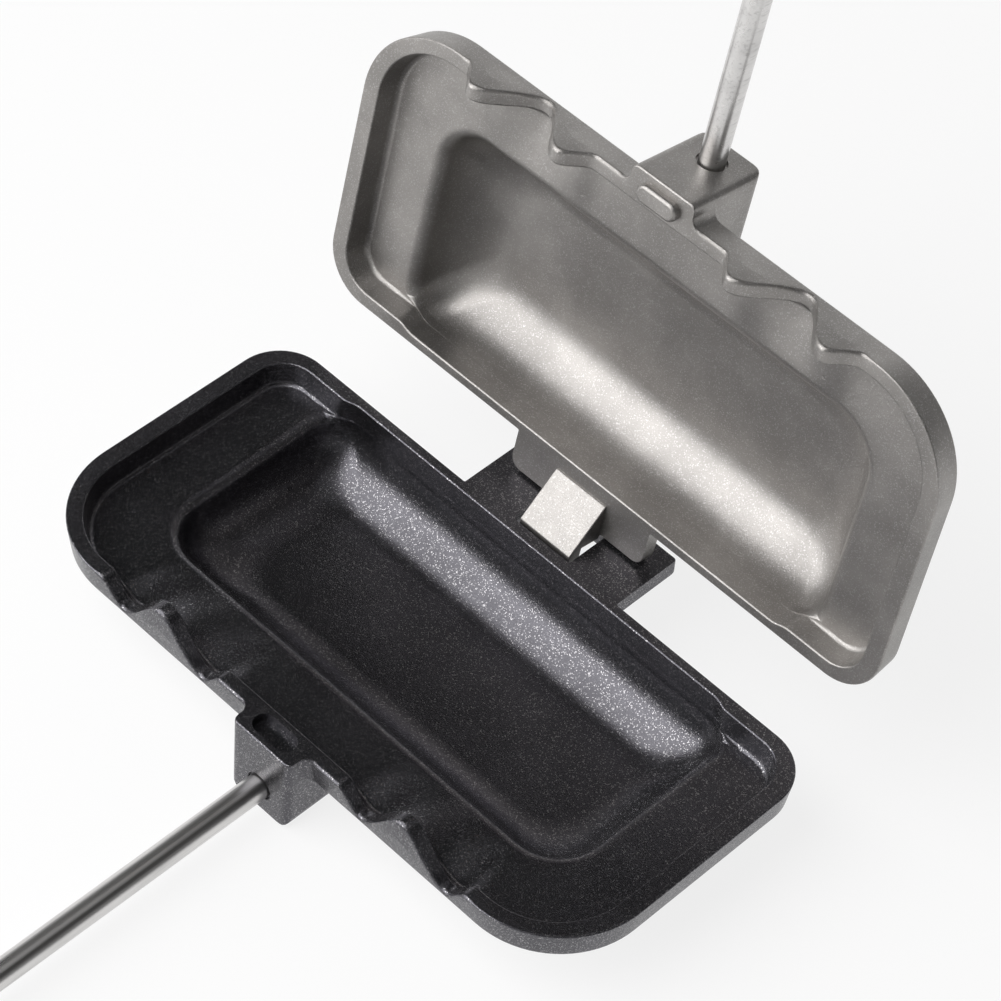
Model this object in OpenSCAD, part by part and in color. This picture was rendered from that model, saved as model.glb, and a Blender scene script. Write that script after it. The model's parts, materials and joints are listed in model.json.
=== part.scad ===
// Pie iron with a long trough: two cast aluminium halves on a hook hinge, each on a steel rod
// with a two-scale grip, and a swinging latch hook that holds the rods together.
// The lower half lies level, and the upper half stands open against its stop.
// +X runs along the shell, +Y points to the hinge, +Z is up, and the floor is at Z = 0.

/* [Shell halves] */
// Length of both shells along X
shell_l = 180; // [160:1:220]
// Width of both shells along Y
shell_w = 84.6; // [80:0.1:96]
// Height of the outer flange wall
flange_h = 8.1; // [7.6:0.1:10]
// Corner radius at the handle side
front_corner_r = 26; // [14:1:28]
// Corner radius at the hinge side
back_corner_r = 13; // [8:1:16]
// Width of the rim at both ends
rim_end_w = 5; // [4:0.1:6]
// Width of the rim at the handle side, and of the crimp
rim_front_w = 4.1; // [3.5:0.1:5]
// Width of the rim at the hinge side
rim_back_w = 4; // [3.5:0.1:5]
// Depth of the tray below the rim
tray_depth = 6.3; // [6.2:0.1:6.6]
// Gap between the two rims when the iron is shut
mating_gap = 0.4; // [0.3:0.05:0.6]

/* [Trough] */
// Length of the trough along X
trough_l = 134; // [124:1:140]
// Distance from the middle of the shell to the trough's handle side
trough_front = 18.5; // [17:0.5:22]
// Width of the rim beside the trough at the hinge side
trough_back_rim = 2.8; // [2.5:0.1:3.4]
// Depth of the trough below the rim
trough_depth = 21.8; // [20:0.1:25]
// Thickness of the trough's wall
wall = 2.2; // [1.8:0.1:2.3]
// Radius along the bottom of the trough
trough_r = 15; // [10:1:16]
// Corner radius of the trough at the handle side, seen from above
trough_front_r = 12; // [8:1:14]
// Corner radius of the trough at the hinge side, seen from above
trough_back_r = 8; // [6:1:10]

/* [Crimp] */
// Distance from the middle to the start of the wave
crimp_start = 19.5; // [17:0.5:21]
// Length of one whole wave
crimp_pitch = 27.8; // [26:0.1:28]
// Height of a crest above the rim
crimp_rise = 5.8; // [4:0.1:6]
// Depth of a hollow below the rim
crimp_fall = 6.1; // [4:0.1:6.1]

/* [Hinge] */
// Distance from the rim to the hinge axis
hinge_out = 11.33; // [11:0.01:11.6]
// Height of the hinge axis above the lower rim
hinge_rise = 0.46; // [0.4:0.01:0.5]
// Angle from shut to the open stop
open_angle = 100; // [99:0.5:100]
// Width of the slotted lower plate
lower_plate_w = 51; // [44:1:60]
// Reach of the lower plate from the rim
lower_plate_out = 20.7; // [18:0.1:24]
// Thickness of the lower plate
lower_plate_t = 4.5; // [4:0.1:4.6]
// Width of the upper plate
upper_plate_w = 43.6; // [36:0.1:48]
// Thickness of the upper plate
upper_plate_t = 4; // [3:0.1:4]
// Width of the hook
hook_w = 16.5; // [12:0.5:18]
// Clearance between the hook and each end of the slot
hook_side_gap = 1.5; // [1:0.1:3]
// Corner radius of the lower plate
lower_plate_corner_r = 1; // [0.5:0.5:4]
// Corner radius of the upper plate
upper_plate_corner_r = 3; // [0.5:0.5:4]

/* [Sockets and rods] */
// Width of the socket block
socket_w = 19; // [17:0.5:24]
// Reach of the socket block beyond the rim
socket_out = 5.1; // [4.8:0.1:8]
// Depth of the socket bore
socket_depth = 22; // [16:1:23]
// Radius along the lower edges of the block
socket_edge_r = 3.5; // [2:0.5:5]
// Diameter of the rod
rod_d = 6.4; // [6:0.1:7]
// Distance from the rim plane to the rod's axis
rod_drop = 16; // [15.5:0.1:16.2]
// Free length of the rod between the socket and the bolster
rod_free = 284; // [200:1:500]
// Diameter of the pin through block and rod
pin_d = 3; // [2:0.1:4]
// Length of the locating boss on the upper block
boss_l = 12; // [8:0.5:14]
// Width of the locating boss
boss_w = 5; // [4:0.1:6]
// Height of the locating boss
boss_h = 2; // [1:0.1:2.5]
// Clearance round the boss in its recess
boss_gap = 0.35; // [0.2:0.05:0.6]

/* [Grips] */
// Length of the grip
grip_l = 118; // [100:1:150]
// Width of the grip
grip_w = 28; // [24:1:34]
// Radius of the rounded edge of a scale
grip_edge_r = 5; // [3:0.5:6]
// Thickness of the steel tang between the scales
tang_t = 2.6; // [2:0.1:4]
// Length of the bolster at the front of the grip
bolster_l = 9; // [6:0.5:14]
// Diameter of a rivet
rivet_d = 5; // [4:0.1:7]
// Outer diameter of the eyelet in the hanging hole
eyelet_d = 10; // [9:0.1:12]
// Bore of the eyelet
eyelet_bore = 7; // [5:0.1:8]

/* [Latch] */
// Distance from the socket's mouth to the latch hook
latch_out = 190; // [60:1:240]
// Thickness of the latch hook
latch_t = 3; // [2:0.1:5]
// Width of the metal round the latch's eye and claw
latch_ring_w = 3.6; // [3:0.1:5]
// Clearance between the latch and the rods
latch_gap = 0.3; // [0.2:0.05:0.5]
// Length of a stop collar
collar_l = 6; // [5:0.5:10]
// Wall of a stop collar
collar_wall = 3.2; // [2.5:0.1:5]
// Diameter of the grub screw in a collar
grub_d = 3; // [2:0.1:4]

/* [Hidden] */
$fn = 48;
eps = 0.01;
fit_gap = 0.02;

parting_z = trough_depth + wall;
half_l = shell_l / 2;
half_w = shell_w / 2;
hinge_y = half_w + hinge_out;
trough_back = half_w - trough_back_rim;
crimp_end = crimp_start + 1.5 * crimp_pitch;
crimp_steps = 36;

// The hook's shape is in Y and Z, counted from the rim: it clears the bar beyond the slot
// by bar_gap and lip_gap over the whole swing
plate_stop_gap = 0.5;
slot_start = 0.5;
slot_past_axis = 1.37;
bar_gap = 0.4;
lip_gap = 0.7;
toe_l = 4;
toe_t = 4.1;
upper_plate_out = hinge_out - plate_stop_gap;
slot_end = hinge_out + slot_past_axis;
slot_w = hook_w + 2 * hook_side_gap;
hook_root = 1.4;
hook_heel = slot_end + 0.3;
hook_throat = slot_end - bar_gap;
hook_toe = slot_end + toe_l;
hook_lip_z = lower_plate_t + mating_gap + lip_gap;
hook_toe_z = hook_lip_z + toe_t;

mouth_y = -half_w - socket_out;
rod_end_gap = 0.3;
pin_y = mouth_y + socket_depth / 2;
pin_past_rod = 1.4;
pin_tip_z = -rod_drop + rod_d / 2 + pin_past_rod;
boss_offset = 0.5;
boss_y = -half_w - boss_offset;
mouth_ring_w = 0.6;

grip_t = 2 * (parting_z - rod_drop);
bolster_y = mouth_y - rod_free;
grip_y = bolster_y - bolster_l;
grip_end_y = grip_y - grip_l;
bolster_side_step = 2;
bolster_face_step = 1.2;
bolster_w = grip_w - 2 * bolster_side_step;
bolster_t = grip_t - 2 * bolster_face_step;
rivet_shares = [0.2, 0.62];
rivet_ys = [for (part = rivet_shares) grip_y - grip_l * part];
eyelet_y = grip_end_y + grip_w / 2;
flush_gap = 0.2;
tang_inset = 0.3;

latch_y = mouth_y - latch_out;
latch_reach = 2 * rod_drop + mating_gap;
latch_bore_r = rod_d / 2 + latch_gap;
latch_ring_r = latch_bore_r + latch_ring_w;
collar_r = rod_d / 2 + collar_wall;
collar_step = (latch_t + collar_l) / 2 + latch_gap;
front_collar_y = latch_y + collar_step;
rear_collar_y = latch_y - collar_step;

// ---- Places ----

// A half is modelled with its rim plane at Z = 0 and its body below
module place_lower() {
    translate([0, 0, parting_z])
        children();
}

module place_upper() {
    translate([0, hinge_y, parting_z + hinge_rise])
        rotate([-open_angle, 0, 0])
            translate([0, -hinge_y, mating_gap - hinge_rise])
                mirror([0, 0, 1])
                    children();
}

// Extrudes an outline drawn in Y and Z along X, centred
module along_x(length) {
    rotate([90, 0, 90])
        linear_extrude(length, center = true)
            children();
}

// Extrudes an outline drawn in X and Z along Y, from y_from to y_to
module along_y(y_from, y_to) {
    translate([0, y_to, 0])
        rotate([90, 0, 0])
            linear_extrude(y_to - y_from)
                children();
}

// ---- Outlines ----

// Rectangle with one radius at its -Y corners and another at its +Y corners
module plan(half_x, y_front, y_back, r_front, r_back) {
    translate([-half_x, y_front + r_front])
        square([2 * half_x, y_back - y_front - r_front - r_back]);
    translate([-half_x + r_front, y_front])
        square([2 * (half_x - r_front), r_front + eps]);
    translate([-half_x + r_back, y_back - r_back - eps])
        square([2 * (half_x - r_back), r_back + eps]);
    for (side = [-1, 1]) {
        translate([side * (half_x - r_front), y_front + r_front])
            circle(r_front);
        translate([side * (half_x - r_back), y_back - r_back])
            circle(r_back);
    }
}

// Channel open at the top, with round lower corners
module channel(left, right, bottom, top, r) {
    translate([left, bottom + r])
        square([right - left, top - bottom - r]);
    translate([left + r, bottom])
        square([right - left - 2 * r, r + eps]);
    for (x = [left + r, right - r])
        translate([x, bottom + r])
            circle(r);
}

module obround(length, width) {
    square([length - width, width], center = true);
    for (side = [-1, 1])
        translate([side * (length - width) / 2, 0])
            circle(width / 2);
}

// Height of the crimp above the rim plane at a distance from the middle
function ease(a, b, t) = a + (b - a) * (1 - cos(180 * t)) / 2;
function crimp(d) =
    let (s = (d - crimp_start) / crimp_pitch)
    s < 0.25 ? ease(0, -crimp_fall, s / 0.25)
    : s < 0.75 ? ease(-crimp_fall, crimp_rise, (s - 0.25) / 0.5)
    : s < 1.25 ? ease(crimp_rise, -crimp_fall, (s - 0.75) / 0.5)
    : ease(-crimp_fall, 0, (s - 1.25) / 0.25);

// Strip from the bottom of the flange to the wave; way is 1 below and -1 above
module crimp_outline(way) {
    step = (crimp_end - crimp_start) / crimp_steps;
    wave = [for (i = [0:crimp_steps]) let (d = crimp_start + i * step) [d, way * crimp(d)]];
    polygon(concat(wave, [[crimp_end, -flange_h], [crimp_start, -flange_h]]));
}

// ---- Shell halves ----

// Round-bottomed form of the trough, thicker by grow all round, up to the height top
module trough_form(grow, top) {
    half_x = trough_l / 2 + grow;
    front = -trough_front - grow;
    back = trough_back + grow;
    bottom = -trough_depth - grow;
    intersection() {
        along_x(2 * half_x)
            channel(front, back, bottom, top, trough_r + grow);
        along_y(-half_w, half_w)
            channel(-half_x, half_x, bottom, top, trough_r + grow);
        translate([0, 0, bottom])
            linear_extrude(top - bottom)
                plan(half_x, front, back, trough_front_r + grow, trough_back_r + grow);
    }
}

module tray_cut() {
    translate([0, 0, -tray_depth])
        linear_extrude(tray_depth + crimp_rise + 1)
            plan(half_l - rim_end_w, -half_w + rim_front_w, half_w - rim_back_w,
                 front_corner_r - rim_end_w, back_corner_r - rim_back_w);
}

module flange() {
    translate([0, 0, -flange_h])
        linear_extrude(flange_h)
            plan(half_l, -half_w, half_w, front_corner_r, back_corner_r);
}

module socket_block() {
    along_y(mouth_y, -trough_front + trough_r)
        channel(-socket_w / 2, socket_w / 2, -parting_z, 0, socket_edge_r);
}

module socket_bores() {
    translate([0, mouth_y - eps, -rod_drop])
        rotate([-90, 0, 0]) {
            cylinder(h = socket_depth + eps, d = rod_d + 2 * fit_gap);
            cylinder(h = mouth_ring_w + eps, d = rod_d + 2 * mouth_ring_w);
        }
    translate([0, pin_y, -parting_z - eps])
        cylinder(h = parting_z + pin_tip_z + fit_gap + eps, d = pin_d + 2 * fit_gap);
}

module crimp_gap() {
    for (side = [-1, 1])
        translate([side * (crimp_start + crimp_end) / 2, -half_w + rim_front_w / 2 - eps, -flange_h / 2])
            cube([crimp_end - crimp_start, rim_front_w + 2 * eps, flange_h + 1], center = true);
}

module crimp_strips(way) {
    for (side = [0, 1])
        mirror([side, 0, 0])
            along_y(-half_w, -half_w + rim_front_w)
                crimp_outline(way);
}

module hinge_plate(width, out, thickness, corner_r) {
    translate([0, 0, -thickness])
        linear_extrude(thickness)
            plan(width / 2, half_w - rim_back_w, half_w + out, corner_r, corner_r);
}

// What both halves share: flange, crimp, trough, block and hinge plate, hollowed out
module half_shell(way, plate_w, plate_out, plate_t, plate_corner_r) {
    difference() {
        union() {
            difference() {
                flange();
                crimp_gap();
            }
            crimp_strips(way);
            trough_form(wall, 0);
            socket_block();
            hinge_plate(plate_w, plate_out, plate_t, plate_corner_r);
        }
        tray_cut();
        trough_form(0, 1);
        socket_bores();
    }
}

module lower_shell() {
    color("#2b2b2d")
        place_lower()
            difference() {
                half_shell(1, lower_plate_w, lower_plate_out, lower_plate_t, lower_plate_corner_r);
                translate([0, half_w + (slot_start + slot_end) / 2, 0])
                    cube([slot_w, slot_end - slot_start, 3 * lower_plate_t], center = true);
                translate([0, boss_y, -boss_h - boss_gap])
                    linear_extrude(2 * boss_h)
                        obround(boss_l + 2 * boss_gap, boss_w + 2 * boss_gap);
            }
}

// The hook leaves the rim, passes through the slot and ends under the outer bar
module hook() {
    translate([0, half_w, 0])
        along_x(hook_w)
            polygon([
                [hook_root, 0],
                [hook_heel, hook_toe_z],
                [hook_toe, hook_toe_z],
                [hook_toe, hook_lip_z],
                [hook_throat, hook_lip_z],
                [hook_throat, 0],
                [upper_plate_out, 0],
                [upper_plate_out, -upper_plate_t / 2],
                [hook_root, -upper_plate_t / 2]
            ]);
}

module upper_shell() {
    color("#96938f")
        place_upper() {
            half_shell(-1, upper_plate_w, upper_plate_out, upper_plate_t, upper_plate_corner_r);
            hook();
            translate([0, boss_y, -eps])
                linear_extrude(boss_h + eps)
                    obround(boss_l, boss_w);
        }
}

// ---- Handles ----

module grip_plan(inset) {
    radius = grip_w / 2 - inset;
    front_r = grip_edge_r;
    translate([0, grip_end_y + grip_w / 2])
        circle(radius);
    translate([-radius, grip_end_y + grip_w / 2])
        square([2 * radius, grip_l - grip_w / 2 - inset - front_r]);
    translate([-radius + front_r, grip_y - inset - front_r - eps])
        square([2 * (radius - front_r), front_r + eps]);
    for (side = [-1, 1])
        translate([side * (radius - front_r), grip_y - inset - front_r])
            circle(front_r);
}

module rivet_holes(gap) {
    for (y = rivet_ys)
        translate([0, y, -rod_drop])
            cylinder(h = 2 * grip_t, d = rivet_d + 2 * gap, center = true);
    translate([0, eyelet_y, -rod_drop])
        cylinder(h = 2 * grip_t, d = eyelet_d + 2 * gap, center = true);
}

// Round rod from the socket to the middle of the bolster, where it is welded to the tang
module rod() {
    difference() {
        translate([0, mouth_y + socket_depth - rod_end_gap, -rod_drop])
            rotate([90, 0, 0])
                cylinder(h = socket_depth - rod_end_gap + rod_free + bolster_l / 2, d = rod_d);
        translate([0, pin_y, -rod_drop - rod_d])
            cylinder(h = 2 * rod_d, d = pin_d + 2 * fit_gap);
    }
}

// Flat steel between the two scales, with a neck that enters the bolster
module tang() {
    difference() {
        translate([0, 0, -rod_drop - tang_t / 2])
            linear_extrude(tang_t) {
                grip_plan(tang_inset);
                translate([-rod_d / 2, grip_y - 2 * tang_inset])
                    square([rod_d, bolster_l / 2 + 2 * tang_inset]);
            }
        rivet_holes(fit_gap);
    }
}

module rod_pin() {
    translate([0, pin_y, -parting_z + flush_gap])
        cylinder(h = parting_z - flush_gap + pin_tip_z, d = pin_d);
}

module bolster() {
    difference() {
        along_y(grip_y, bolster_y)
            translate([0, -rod_drop])
                obround(bolster_w, bolster_t);
        translate([0, bolster_y + 1, -rod_drop])
            rotate([90, 0, 0])
                cylinder(h = bolster_l / 2 + 1 + fit_gap, d = rod_d + 2 * fit_gap);
        translate([0, grip_y + bolster_l / 4, -rod_drop])
            cube([rod_d + 2 * fit_gap, bolster_l / 2 + 2 * fit_gap, tang_t + 2 * fit_gap], center = true);
    }
}

// One scale of the grip; side is 1 towards the other handle and -1 away from it
module grip_scale(side) {
    scale_t = (grip_t - tang_t) / 2;
    difference() {
        intersection() {
            translate([0, 0, -rod_drop + (side > 0 ? tang_t / 2 : -grip_t / 2)])
                linear_extrude(scale_t)
                    grip_plan(0);
            along_y(grip_end_y - 1, grip_y + 1)
                translate([0, -rod_drop])
                    rotate(side > 0 ? 180 : 0)
                        channel(-grip_w / 2, grip_w / 2, -grip_t / 2, 0, grip_edge_r);
        }
        rivet_holes(fit_gap);
    }
}

module rivets() {
    for (y = rivet_ys)
        translate([0, y, -rod_drop])
            cylinder(h = grip_t - 2 * flush_gap, d = rivet_d, center = true);
}

module eyelet() {
    translate([0, eyelet_y, -rod_drop])
        difference() {
            cylinder(h = grip_t - 2 * flush_gap, d = eyelet_d, center = true);
            cylinder(h = grip_t, d = eyelet_bore, center = true);
        }
}

module lower_rod() {
    color("#c3c5c8")
        place_lower()
            rod();
}

module upper_rod() {
    color("#c3c5c8")
        place_upper()
            rod();
}

module lower_tang() {
    color("#b7babd")
        place_lower()
            tang();
}

module upper_tang() {
    color("#b7babd")
        place_upper()
            tang();
}

module lower_rod_pin() {
    color("#8d9094")
        place_lower()
            rod_pin();
}

module upper_rod_pin() {
    color("#8d9094")
        place_upper()
            rod_pin();
}

module lower_bolster() {
    color("#a9acb0")
        place_lower()
            bolster();
}

module upper_bolster() {
    color("#a9acb0")
        place_upper()
            bolster();
}

module lower_grip_inner() {
    color("#8a5a33")
        place_lower()
            grip_scale(1);
}

module upper_grip_inner() {
    color("#8a5a33")
        place_upper()
            grip_scale(1);
}

module lower_grip_outer() {
    color("#8a5a33")
        place_lower()
            grip_scale(-1);
}

module upper_grip_outer() {
    color("#8a5a33")
        place_upper()
            grip_scale(-1);
}

module lower_rivets() {
    color("#c8b27a")
        place_lower()
            rivets();
}

module upper_rivets() {
    color("#c8b27a")
        place_upper()
            rivets();
}

module lower_eyelet() {
    color("#c8b27a")
        place_lower()
            eyelet();
}

module upper_eyelet() {
    color("#c8b27a")
        place_upper()
            eyelet();
}

// ---- Latch ----

module on_upper_rod(y) {
    translate([0, y, -rod_drop])
        rotate([90, 0, 0])
            children();
}

module collar(y) {
    difference() {
        on_upper_rod(y)
            cylinder(h = collar_l, r = collar_r, center = true);
        on_upper_rod(y)
            cylinder(h = collar_l + 1, d = rod_d + 2 * fit_gap, center = true);
        translate([0, y, -rod_drop])
            rotate([0, 90, 0])
                cylinder(h = collar_r + 1, d = grub_d + 2 * fit_gap);
    }
}

module latch_front_collar() {
    color("#9a9da1")
        place_upper()
            collar(front_collar_y);
}

module latch_rear_collar() {
    color("#9a9da1")
        place_upper()
            collar(rear_collar_y);
}

module latch_grub_screws() {
    color("#55575a")
        place_upper()
            for (y = [front_collar_y, rear_collar_y])
                translate([rod_d / 2, y, -rod_drop])
                    rotate([0, 90, 0])
                        difference() {
                            cylinder(h = collar_wall, d = grub_d);
                            translate([0, 0, collar_wall / 2])
                                cylinder(h = collar_wall, d = grub_d / 2, $fn = 6);
                        }
}

// The eye turns on the upper rod; the claw catches the lower rod from the side.
// It is drawn swung away from the lower rod, where it hangs while the iron is open.
module latch_hook() {
    color("#b4b7ba")
        place_upper()
            on_upper_rod(latch_y)
                linear_extrude(latch_t, center = true)
                    difference() {
                        union() {
                            circle(latch_ring_r);
                            translate([0, -latch_reach])
                                circle(latch_ring_r);
                            translate([-latch_ring_r, -latch_reach])
                                square([latch_ring_r, latch_reach]);
                        }
                        circle(latch_bore_r);
                        translate([0, -latch_reach]) {
                            circle(latch_bore_r);
                            translate([0, -latch_bore_r])
                                square([2 * latch_ring_r, 2 * latch_bore_r]);
                            translate([latch_bore_r - eps, -latch_bore_r])
                                square([latch_ring_r, 2 * latch_ring_r]);
                        }
                    }
}

lower_shell();
lower_rod();
lower_rod_pin();
lower_bolster();
lower_tang();
lower_grip_inner();
lower_grip_outer();
lower_rivets();
lower_eyelet();
upper_shell();
upper_rod();
upper_rod_pin();
upper_bolster();
upper_tang();
upper_grip_inner();
upper_grip_outer();
upper_rivets();
upper_eyelet();
latch_front_collar();
latch_rear_collar();
latch_grub_screws();
latch_hook();
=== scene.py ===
"""A two-half cast pie iron with a long trough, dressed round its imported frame."""

import json
import math

import bmesh
import bpy
from mathutils import Matrix, Vector


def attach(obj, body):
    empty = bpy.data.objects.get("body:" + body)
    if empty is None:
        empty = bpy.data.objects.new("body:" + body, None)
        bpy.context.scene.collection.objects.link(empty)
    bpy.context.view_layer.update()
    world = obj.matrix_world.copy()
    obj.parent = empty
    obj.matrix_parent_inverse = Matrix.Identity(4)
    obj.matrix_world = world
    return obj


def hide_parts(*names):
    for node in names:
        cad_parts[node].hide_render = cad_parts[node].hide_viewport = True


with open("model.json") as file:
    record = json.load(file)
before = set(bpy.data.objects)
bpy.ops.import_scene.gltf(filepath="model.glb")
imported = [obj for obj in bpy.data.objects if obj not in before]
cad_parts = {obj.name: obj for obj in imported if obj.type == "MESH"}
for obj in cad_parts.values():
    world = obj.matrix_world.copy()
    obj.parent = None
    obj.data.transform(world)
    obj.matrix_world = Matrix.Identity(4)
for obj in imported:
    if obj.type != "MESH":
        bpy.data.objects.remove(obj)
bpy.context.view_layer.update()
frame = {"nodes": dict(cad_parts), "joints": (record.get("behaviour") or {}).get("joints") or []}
HINGE = frame["joints"][0]
OPENED = math.radians(HINGE["range_deg"][1])    # how far the upper half stands open in the row frame

bl_info = {
    "name": "Pie iron",
    "version": (1, 0, 0),
    "blender": (4, 5, 0),
    "location": "View3D > Sidebar > Pie iron",
    "description": "Dresses the packed pie iron with castings, steel, wood and a studio",
    "category": "Object",
}

MM = 0.001
LOWER, UPPER, LATCH = "lower_half", "upper_half", "latch"
PARTING = 24 * MM        # height of the lower rim above the floor
MATING_GAP = 0.4 * MM    # between the two rims when the iron is shut
WAVES = 1.5              # waves of the crimp on each side of the socket block
LIP_SHARE = 0.9          # of the tray's width beside the trough that lip and fillet may take
PLATE_BLEND = 1 * MM     # how far a plate stands out before the wall's draft is gone
SMOOTH_ANGLE = math.radians(32)     # faces that meet at less than this are shaded as one
FLAT_ANGLE = math.radians(0.5)      # faces of a CAD mesh that meet at less than this are one face
MERGE_GAP = 0.004 * MM   # points of a CAD mesh closer than this are one point
RING_GAP = 0.002 * MM    # least step between two rings that would meet
LEAST_RADIUS = 0.5 * MM  # of a plan's corners, however far it is drawn in
FLOOR_REACH, FLOOR_DROP = 6.0, 0.2 * MM             # half the floor's side, and its place below the iron
TROUGH_STEPS, LIP_STEPS, FILLET_STEPS, EDGE_STEPS, ROOT_STEPS, BELOW_STEPS = 14, 6, 5, 3, 4, 12
TRAY_SHARES = (0.15, 0.3, 0.45, 0.6, 0.75, 0.9)     # of the way from the lip to the fillet
FINE, EVEN, WIDE = 0.9 * MM, 1.5 * MM, 2 * MM       # steps along the rim
WEB_SHARES = (0.004, 0.03, 0.1, 0.25, 0.5, 1.0)     # shares of a radius, close together where it starts
PLATE_WEB_SHARES = (0.01, 0.1, 0.3, 0.6, 1)
BLOCK_SHARES = (1, 0.7, 0.45, 0.25, 0.12, 0.04, 0)  # shares of a radius, close together where it ends
PLATE_SHARES = (1, 0.75, 0.5, 0.3, 0.15, 0.05, 0)
HOOK_PROFILE = (         # from the side, in millimetres: beyond the wall, above the rim
    (1.7, -1.5), (1.7, 0.35), (13.0, 9.7), (16.7, 9.7), (16.7, 5.6), (12.3, 5.6), (12.3, 0), (10.4, -0.9),
    (10.4, -1.5),
)


# ---- Sizes and colours ----


def length(name, value, description):
    return bpy.props.FloatProperty(
        name=name, description=description, default=value * MM, min=0.0, unit="LENGTH", precision=5
    )


def colour(name, value, description):
    return bpy.props.FloatVectorProperty(
        name=name, description=description, default=value, size=3, min=0.0, max=1.0, subtype="COLOR"
    )


def share(name, value, description):
    return bpy.props.FloatProperty(
        name=name, description=description, default=value, min=0.0, max=1.0, subtype="FACTOR"
    )


def spot(name, value, description):
    return bpy.props.FloatVectorProperty(
        name=name, description=description, default=value, size=3, subtype="TRANSLATION", unit="LENGTH"
    )


class CastingSizes(bpy.types.PropertyGroup):
    """Sizes of the two castings, as in the part's source"""

    half_l: length("Half length", 90, "From the middle of a shell to its end")
    half_w: length("Half width", 42.3, "From the middle of a shell to its long sides")
    flange: length("Flange height", 8.1, "Height of the outer wall")
    front_r: length("Handle corners", 26, "Corner radius at the handle side")
    back_r: length("Hinge corners", 13, "Corner radius at the hinge side")
    rim_end: length("Rim at the ends", 5, "Width of the rim at both ends")
    rim_front: length("Rim at the handle", 4.1, "Width of the rim and of the crimp")
    rim_back: length("Rim at the hinge", 4, "Width of the rim at the hinge side")
    jog_blend: length("Jog blend", 0.8, "Softness of the step where the trough's wall enters the rim")
    tray: length("Tray depth", 6.3, "From the rim to the tray")
    trough_half_l: length("Trough half length", 67, "From the middle to the trough's ends")
    trough_front: length("Trough front", 18.5, "From the middle to the trough's handle side")
    trough_back: length("Trough back", 39.5, "From the middle to the trough's hinge side")
    trough: length("Trough depth", 21.8, "From the rim to the trough's bottom")
    wall: length("Wall", 2.2, "Thickness of the trough's wall")
    trough_r: length("Trough radius", 15, "Radius along the trough's bottom")
    trough_front_r: length("Trough handle corners", 12, "Radius seen from above")
    trough_back_r: length("Trough hinge corners", 8, "Radius seen from above")
    root_r: length("Root radius", 2, "Fillet under the tray, round the trough's outside")
    lip_r: length("Lip radius", 3.5, "Rounding between tray and trough")
    fillet_r: length("Fillet radius", 1.6, "Fillet between the tray and its wall")
    tray_draft: length("Tray draft", 0.8, "How far the tray's wall leans in at its foot")
    edge_r: length("Edge radius", 0.5, "Rounding of the casting's edges")
    wave_edge_r: length("Wave edge radius", 1.1, "Rounding of the outer edge along the wave")
    draft: length("Draft", 1.0, "How far the outer wall leans in at its foot")
    crimp_start: length("Wave start", 19.5, "From the middle to the start of the wave")
    crimp_pitch: length("Wave length", 27.8, "Length of one whole wave")
    crimp_rise: length("Crest height", 5.8, "Height of a crest above the rim")
    crimp_fall: length("Hollow depth", 6.1, "Depth of a hollow below the rim")
    pleat: length("Pleat height", 1.7, "How far the tray follows the wave")
    block_half_w: length("Block half width", 9.5, "Half the width of the socket block")
    block_out: length("Block reach", 5.1, "Reach of the block beyond the rim")
    block_edge_r: length("Block lower edges", 3.5, "Radius along the block's lower edges")
    block_front_r: length("Block front edges", 1.6, "Radius up the block's front edges")
    web_r: length("Web radius", 2.5, "Fillet between the block and the wall")
    plate_web_r: length("Plate web radius", 0.5, "Fillet between a plate and the wall")
    lower_plate_half_w: length("Lower plate half width", 25.5, "Half the width of the slotted plate")
    lower_plate_out: length("Lower plate reach", 20.7, "Reach of the slotted plate beyond the wall")
    lower_plate_t: length("Lower plate thickness", 4.5, "Thickness of the slotted plate")
    lower_plate_r: length("Lower plate corners", 1, "Corner radius of the slotted plate")
    upper_plate_half_w: length("Upper plate half width", 21.8, "Half the width of the plate beside the hook")
    upper_plate_out: length("Upper plate reach", 10.83, "Reach of the plate beside the hook")
    upper_plate_t: length("Upper plate thickness", 4, "Thickness of the plate beside the hook")
    upper_plate_r: length("Upper plate corners", 3, "Corner radius of the plate beside the hook")
    slot_half_w: length("Slot half width", 9.2, "Half the width of the slot that takes the hook")
    slot_near: length("Slot start", 0.5, "From the wall to the slot")
    slot_far: length("Slot end", 12.7, "From the wall to the slot's far side")
    hook_w: length("Hook width", 16.5, "Width of the hook")
    hook_edge: length("Hook edges", 0.5, "Rounding of the hook's edges")
    recess_l: length("Recess length", 12.7, "Length of the recess in the lower block")
    recess_w: length("Recess width", 5.7, "Width of the recess in the lower block")
    recess_depth: length("Recess depth", 2.35, "Depth of the recess in the lower block")
    boss_l: length("Boss length", 12, "Length of the boss on the upper block")
    boss_w: length("Boss width", 5, "Width of the boss on the upper block")
    boss_h: length("Boss height", 2, "Height of the boss above the rim")
    boss_foot: length("Boss foot", 1, "How deep the boss stands in the block")
    boss_edge: length("Boss edges", 0.9, "Rounding of the boss's edges")
    boss_in: length("Boss place", 0.5, "How far boss and recess stand out from the wall")
    rod_drop: length("Rod drop", 16, "From the rim to the middle of the rod")
    socket_r: length("Socket radius", 3.22, "Radius of the bore that holds the rod")
    socket_depth: length("Socket depth", 22, "Depth of the bore that holds the rod")
    mouth_r: length("Mouth radius", 3.8, "Radius of the ring at the socket's mouth")
    mouth_depth: length("Mouth depth", 0.6, "Depth of the ring at the socket's mouth")
    pin_r: length("Pin hole radius", 1.52, "Radius of the hole for the cross pin")
    pin_in: length("Pin place", 11, "From the socket's mouth to the cross pin")
    pin_depth: length("Pin hole depth", 9, "Depth of the hole for the cross pin")


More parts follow.
